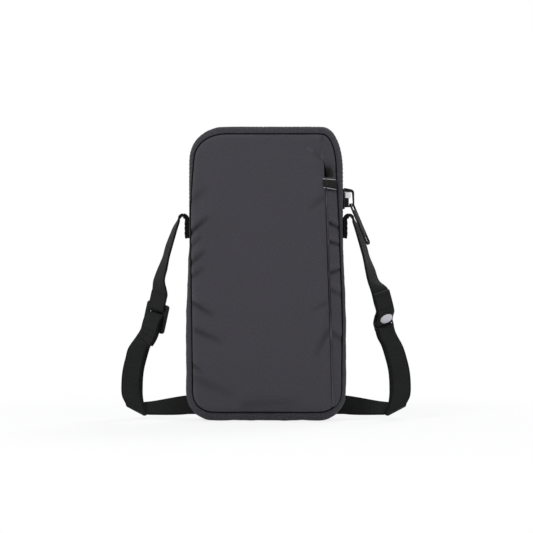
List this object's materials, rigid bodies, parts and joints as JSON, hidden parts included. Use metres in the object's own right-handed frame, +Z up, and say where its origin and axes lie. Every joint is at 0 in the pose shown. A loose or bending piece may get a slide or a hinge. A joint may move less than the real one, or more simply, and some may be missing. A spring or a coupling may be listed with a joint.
{
  "type": "phone pouch",
  "caption": "Padded upright pouch for a phone, with a zip-round mouth, a zipped front pocket and an adjustable webbing strap that hangs from the sides and runs behind it.",
  "frame": {"origin": "on the ground under the middle of the flat base", "axes": "+Z up, the front with the pocket faces -Y, +X to the right as seen from the front"},
  "size_m": [0.2006, 0.0337, 0.2],
  "materials": {
    "panel_fabric": "charcoal brushed woven fabric",
    "band_fabric": "dark grey plain woven fabric",
    "zip_tape": "black zip tape with a nylon coil",
    "webbing": "black ribbed webbing",
    "black_metal": "gloss black enamel",
    "bright_metal": "bright nickel plate",
    "foam": "soft foam padding",
    "lining": "smooth grey lining cloth"
  },
  "bodies": {
    "pouch": {"back_panel": "panel_fabric", "back_foam": "foam", "back_lining": "lining", "back_seam_binding": "band_fabric", "front_panel": "panel_fabric", "side_strip": "panel_fabric", "pocket_zip": "zip_tape", "pocket_lining": "lining", "divider_foam": "foam", "front_lining": "lining", "front_seam_binding": "band_fabric", "gusset_lower": "band_fabric", "gusset_back_upper": "band_fabric", "gusset_front_sides": "band_fabric", "zip_tape_back": "zip_tape", "zip_tape_front_sides": "zip_tape", "left_tab": "webbing", "right_tab": "webbing"},
    "mouth_front": {"mouth_panel": "panel_fabric", "mouth_side_strip": "panel_fabric", "mouth_foam": "foam", "mouth_lining": "lining", "mouth_gusset": "band_fabric", "mouth_zip_tape": "zip_tape", "mouth_seam_binding": "band_fabric"},
    "main_slider": {"main_slider": "black_metal"},
    "main_pull": {"main_pull": "black_metal"},
    "pocket_slider": {"pocket_slider": "black_metal"},
    "pocket_pull": {"pocket_pull": "bright_metal"},
    "strap": {"strap_left": "webbing", "strap_weave": "webbing", "strap_back_layer": "webbing", "strap_front_layer": "webbing", "strap_right": "webbing", "snap_fold": "webbing", "link_ring": "black_metal", "snap_stud": "bright_metal", "snap_back_cap": "bright_metal"},
    "adjuster": {"adjuster_frame": "black_metal", "adjuster_loop": "webbing"},
    "snap_flap": {"snap_flap": "webbing", "snap_cap": "bright_metal", "snap_socket": "bright_metal"}
  },
  "joints": [
    {"name": "mouth_open", "type": "hinge", "parent": "pouch", "child": "mouth_front", "pos_m": [0, -0.0146, 0.166], "axis": [1, 0, 0], "range_deg": [0, 40]},
    {"name": "strap_swing", "type": "hinge", "parent": "pouch", "child": "strap", "pos_m": [0, 0, 0.14], "axis": [1, 0, 0], "range_deg": [0, 70]},
    {"name": "main_zip_slide", "type": "slide", "parent": "pouch", "child": "main_slider", "axis": [0, 0, 1], "range_m": [0, 0.014]},
    {"name": "main_pull_swing", "type": "hinge", "parent": "main_slider", "child": "main_pull", "pos_m": [0.0584, 0, 0.14765], "axis": [0, -1, 0], "range_deg": [0, 110]},
    {"name": "pocket_zip_slide", "type": "slide", "parent": "pouch", "child": "pocket_slider", "axis": [0.0325, 0, -0.9995], "range_m": [0, 0.135]},
    {"name": "pocket_pull_swing", "type": "hinge", "parent": "pocket_slider", "child": "pocket_pull", "pos_m": [0.041, -0.0145, 0.15997], "axis": [0.0325, 0, -0.9995], "range_deg": [0, 100]},
    {"name": "adjuster_slide", "type": "slide", "parent": "strap", "child": "adjuster", "axis": [0.2136, -0.1136, 0.9703], "range_m": [-0.006, 0.006], "deforming": ["strap_weave", "adjuster_loop"]},
    {"name": "snap_flap_open", "type": "hinge", "parent": "strap", "child": "snap_flap", "pos_m": [0.0802, 0.00762, 0.0673], "axis": [0.8712, 0.4062, 0.2756], "range_deg": [0, 40], "deforming": ["snap_fold"]}
  ]
}
